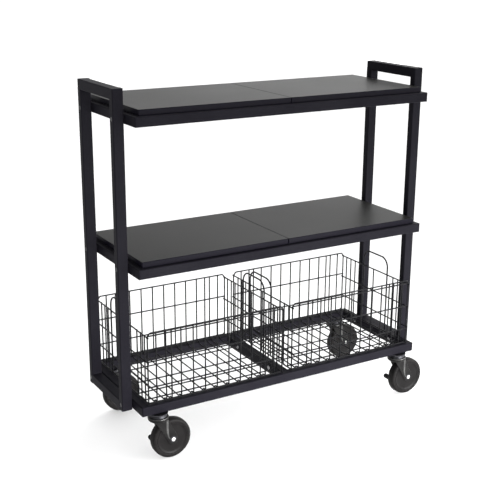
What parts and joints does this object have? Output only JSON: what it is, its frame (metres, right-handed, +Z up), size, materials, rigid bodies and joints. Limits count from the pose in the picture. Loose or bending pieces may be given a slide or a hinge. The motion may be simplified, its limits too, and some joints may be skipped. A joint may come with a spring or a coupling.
{
  "type": "wire shelf cart",
  "caption": "Rolling storage cart: tubular end frames with handles, open shelf frames with flat panels, lift-out wire baskets below and swivel casters.",
  "frame": {"origin": "centre of the shelf frames' plan, on the floor under the wheels", "axes": "+X along the length towards the right-hand end, -Y the front (brake lever casters), +Z up"},
  "size_m": [0.8471, 0.3312, 0.8572],
  "materials": {
    "frame_paint": "satin black powder coat, fine texture",
    "shelf_panel": "satin dark laminate with a fine woven grain, near-black edges",
    "basket_wire": "satin black coated wire",
    "fastener_steel": "blackened steel",
    "caster_steel": "blackened steel",
    "axle_steel": "bright zinc plate",
    "fork_paint": "satin black stamped steel",
    "wheel_plastic": "dark grey moulded wheel, soft sheen",
    "brake_plastic": "black moulded tip on a black steel lever",
    "plug_plastic": "grey moulded plug"
  },
  "bodies": {
    "cart": {"left_front_upright": "frame_paint", "left_back_upright": "frame_paint", "left_handle_bar": "frame_paint", "left_bottom_bar": "frame_paint", "right_front_upright": "frame_paint", "right_back_upright": "frame_paint", "right_handle_bar": "frame_paint", "right_bottom_bar": "frame_paint", "top_front_rail": "frame_paint", "top_back_rail": "frame_paint", "top_left_rail": "frame_paint", "top_right_rail": "frame_paint", "top_cross_bar": "frame_paint", "middle_front_rail": "frame_paint", "middle_back_rail": "frame_paint", "middle_left_rail": "frame_paint", "middle_right_rail": "frame_paint", "middle_cross_bar": "frame_paint", "bottom_front_rail": "frame_paint", "bottom_back_rail": "frame_paint", "bottom_left_rail": "frame_paint", "bottom_right_rail": "frame_paint", "bottom_cross_bar": "frame_paint", "top_left_panel": "shelf_panel", "top_right_panel": "shelf_panel", "middle_left_panel": "shelf_panel", "middle_right_panel": "shelf_panel", "frame_bolts": "fastener_steel", "frame_inserts": "fastener_steel", "panel_screws": "fastener_steel", "rail_plugs": "plug_plastic", "caster_sockets": "fastener_steel", "caster_stems": "caster_steel", "swivel_balls": "caster_steel"},
    "left_basket": {"left_basket_floor": "basket_wire", "left_basket_front": "basket_wire", "left_basket_back": "basket_wire", "left_basket_outer_side": "basket_wire", "left_basket_inner_side": "basket_wire", "left_basket_handles": "basket_wire"},
    "right_basket": {"right_basket_floor": "basket_wire", "right_basket_front": "basket_wire", "right_basket_back": "basket_wire", "right_basket_outer_side": "basket_wire", "right_basket_inner_side": "basket_wire", "right_basket_handles": "basket_wire"},
    "front_left_caster": {"front_left_fork": "fork_paint", "front_left_axle": "axle_steel"},
    "front_left_roller": {"front_left_wheel": "wheel_plastic"},
    "front_left_brake": {"front_left_brake_lever": "brake_plastic"},
    "front_right_caster": {"front_right_fork": "fork_paint", "front_right_axle": "axle_steel"},
    "front_right_roller": {"front_right_wheel": "wheel_plastic"},
    "front_right_brake": {"front_right_brake_lever": "brake_plastic"},
    "back_left_caster": {"back_left_fork": "fork_paint", "back_left_axle": "axle_steel"},
    "back_left_roller": {"back_left_wheel": "wheel_plastic"},
    "back_right_caster": {"back_right_fork": "fork_paint", "back_right_axle": "axle_steel"},
    "back_right_roller": {"back_right_wheel": "wheel_plastic"}
  },
  "joints": [
    {"name": "left_basket_lift", "type": "slide", "parent": "cart", "child": "left_basket", "axis": [0, 0, 1], "range_m": [0, 0.08]},
    {"name": "right_basket_lift", "type": "slide", "parent": "cart", "child": "right_basket", "axis": [0, 0, 1], "range_m": [0, 0.08]},
    {"name": "front_left_swivel", "type": "hinge", "parent": "cart", "child": "front_left_caster", "pos_m": [-0.349, -0.14105, 0.1], "axis": [0, 0, 1], "continuous": true},
    {"name": "front_left_roll", "type": "hinge", "parent": "front_left_caster", "child": "front_left_roller", "pos_m": [-0.319, -0.14105, 0.049], "axis": [0, 1, 0], "continuous": true},
    {"name": "front_left_brake_press", "type": "hinge", "parent": "front_left_caster", "child": "front_left_brake", "pos_m": [-0.319, -0.14105, 0.049], "axis": [0, -1, 0], "range_deg": [0, 30]},
    {"name": "front_right_swivel", "type": "hinge", "parent": "cart", "child": "front_right_caster", "pos_m": [0.349, -0.14105, 0.1], "axis": [0, 0, 1], "continuous": true},
    {"name": "front_right_roll", "type": "hinge", "parent": "front_right_caster", "child": "front_right_roller", "pos_m": [0.379, -0.14105, 0.049], "axis": [0, 1, 0], "continuous": true},
    {"name": "front_right_brake_press", "type": "hinge", "parent": "front_right_caster", "child": "front_right_brake", "pos_m": [0.379, -0.14105, 0.049], "axis": [0, -1, 0], "range_deg": [0, 30]},
    {"name": "back_left_swivel", "type": "hinge", "parent": "cart", "child": "back_left_caster", "pos_m": [-0.349, 0.14105, 0.1], "axis": [0, 0, 1], "continuous": true},
    {"name": "back_left_roll", "type": "hinge", "parent": "back_left_caster", "child": "back_left_roller", "pos_m": [-0.319, 0.14105, 0.049], "axis": [0, 1, 0], "continuous": true},
    {"name": "back_right_swivel", "type": "hinge", "parent": "cart", "child": "back_right_caster", "pos_m": [0.349, 0.14105, 0.1], "axis": [0, 0, 1], "continuous": true},
    {"name": "back_right_roll", "type": "hinge", "parent": "back_right_caster", "child": "back_right_roller", "pos_m": [0.379, 0.14105, 0.049], "axis": [0, 1, 0], "continuous": true}
  ]
}
